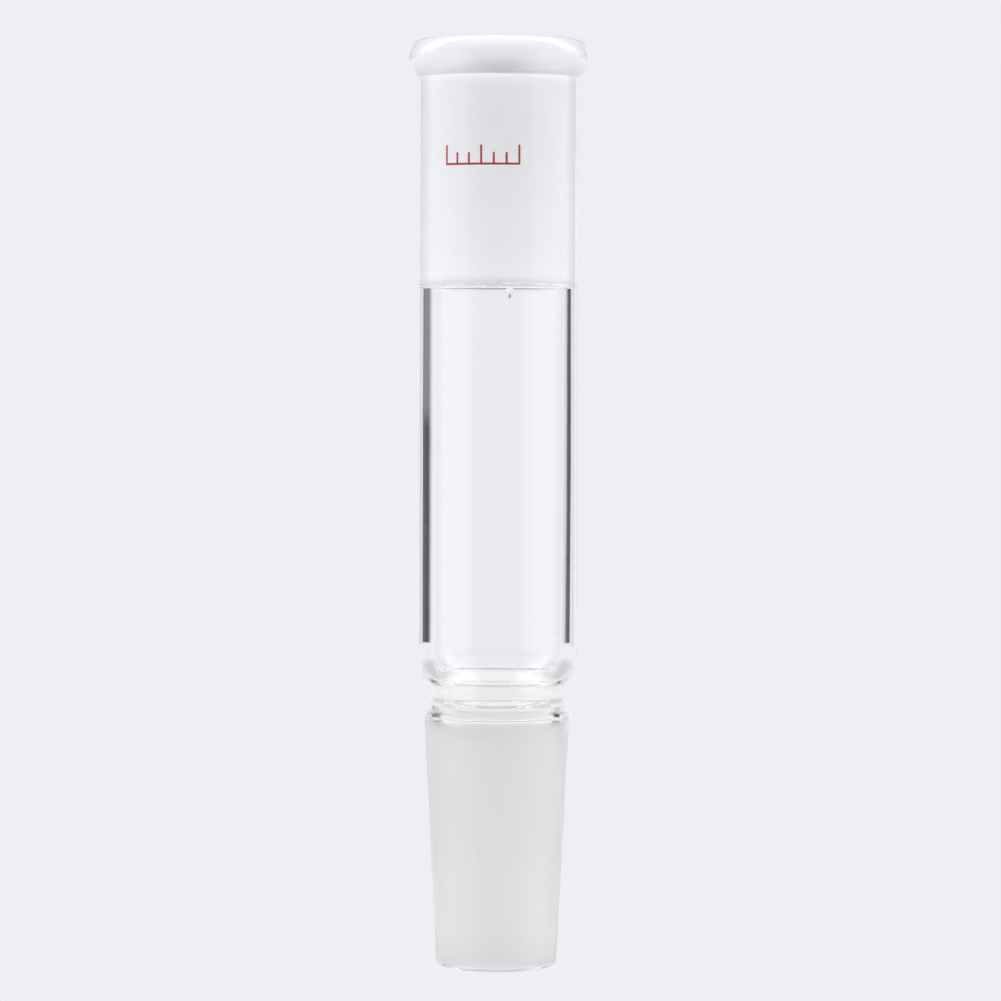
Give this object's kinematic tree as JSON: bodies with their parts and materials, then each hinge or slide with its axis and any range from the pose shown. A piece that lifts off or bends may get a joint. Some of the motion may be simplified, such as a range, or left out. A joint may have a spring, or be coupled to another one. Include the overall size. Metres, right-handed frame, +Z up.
{
  "type": "straight glass joint adapter",
  "caption": "Straight laboratory glass adapter: a beaded ground socket, a plain tube, a rounded shoulder, a short neck and a ground cone.",
  "frame": {"origin": "on the tube's axis, at the flat lower end of the cone", "axes": "+Z runs up the axis from the cone to the socket, -Y is the front with the index mark, +X is to the right seen from the front"},
  "size_m": [0.0308, 0.0308, 0.1538],
  "materials": {
    "clear_glass": "fire-polished clear borosilicate glass",
    "ground_glass": "glass with a fine ground, frosted joint surface",
    "red_enamel": "thin red enamel fired on to the glass"
  },
  "bodies": {
    "root": {"socket_joint": "ground_glass", "body_tube": "clear_glass", "shoulder": "clear_glass", "neck_tube": "clear_glass", "cone_joint": "ground_glass", "index_mark": "red_enamel"}
  },
  "joints": []
}
